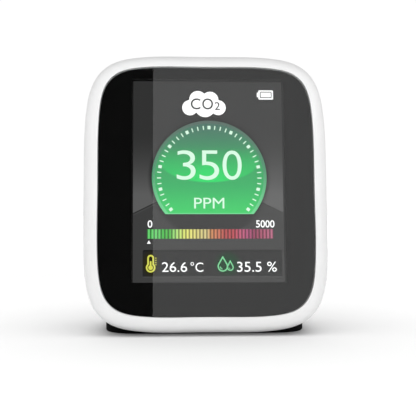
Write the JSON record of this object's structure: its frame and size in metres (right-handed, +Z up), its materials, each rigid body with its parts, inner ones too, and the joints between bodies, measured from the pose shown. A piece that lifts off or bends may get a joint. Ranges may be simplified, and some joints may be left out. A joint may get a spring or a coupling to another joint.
{
  "type": "carbon dioxide monitor",
  "caption": "Desk carbon dioxide monitor: a rounded square white case leaning back on a rubber pad, glass front, colour display, gas sensor, battery and a sprung top button.",
  "frame": {"origin": "on the ground plane, under the middle of the case's bounding box", "axes": "+Z up, -Y the way the leaning face looks, +X to the viewer's right when looking at the face"},
  "size_m": [0.0704, 0.049, 0.0802],
  "materials": {
    "white_shell": "satin white moulded plastic",
    "foot_rubber": "matte black rubber",
    "white_plug": "matte white soft rubber",
    "filter_cloth": "dark non-woven cloth",
    "lens_glass": "polished clear glass",
    "black_film": "gloss black print",
    "tape_foam": "matte adhesive foam",
    "gasket_foam": "matte soft foam",
    "display_glass": "dark polarised display glass",
    "silicon": "bare silicon",
    "light_guide": "milky acrylic",
    "pressed_steel": "pressed bright steel",
    "flex_film": "amber polyimide film",
    "black_plastic": "matte black moulded plastic",
    "circuit_board": "green solder mask",
    "screw_steel": "zinc plated steel",
    "connector_nylon": "natural nylon",
    "chip_epoxy": "black moulding compound",
    "ferrite": "dark grey ferrite",
    "capacitor_ceramic": "tan ceramic",
    "can_metal": "bright metal can",
    "socket_steel": "satin nickel",
    "red_insulation": "red silicone insulation",
    "black_insulation": "black silicone insulation",
    "pouch_foil": "satin laminated foil",
    "cell_gold": "gold plated housing",
    "membrane": "white porous membrane",
    "pin_brass": "gold plated brass"
  },
  "bodies": {
    "housing": {"front_bezel": "white_shell", "rear_shell": "white_shell", "screw_plugs": "white_plug", "base_pad": "foot_rubber", "dust_filter": "filter_cloth", "cover_lens": "lens_glass", "mask_film": "black_film", "lens_tape": "tape_foam", "lcd_gasket": "gasket_foam", "lcd_glass": "display_glass", "lcd_driver_chip": "silicon", "light_guide": "light_guide", "lcd_frame": "pressed_steel", "display_flex": "flex_film", "display_carrier": "black_plastic", "main_board": "circuit_board", "case_screws": "screw_steel", "board_screws": "screw_steel", "flex_connector": "connector_nylon", "mcu_chip": "chip_epoxy", "charger_chip": "chip_epoxy", "power_inductor": "ferrite", "capacitors": "capacitor_ceramic", "crystal": "can_metal", "usb_c_shell": "socket_steel", "usb_c_tongue": "black_plastic", "buzzer": "black_plastic", "battery_connector": "connector_nylon", "battery_plug": "connector_nylon", "battery_lead_red": "red_insulation", "battery_lead_black": "black_insulation", "battery_cell": "pouch_foil", "battery_tape": "tape_foam", "co2_board": "circuit_board", "co2_cell": "cell_gold", "co2_membranes": "membrane", "co2_pins": "pin_brass", "climate_board": "circuit_board", "climate_chip": "chip_epoxy", "climate_pins": "pin_brass", "switch_base": "connector_nylon"},
    "button": {"power_button": "white_shell"},
    "switch": {"switch_plunger": "black_plastic"}
  },
  "joints": [
    {"name": "button_press", "type": "slide", "parent": "housing", "child": "button", "axis": [0, -0.1392, -0.9903], "range_m": [0, 0.0003], "stiffness_N_per_m": 2500, "springref_m": -0.0003},
    {"name": "switch_travel", "type": "slide", "parent": "housing", "child": "switch", "axis": [0, -0.1392, -0.9903], "range_m": [0, 0.0003]}
  ],
  "couplings": [
    {"joint": "switch_travel", "follows": "button_press", "ratio": 1}
  ]
}
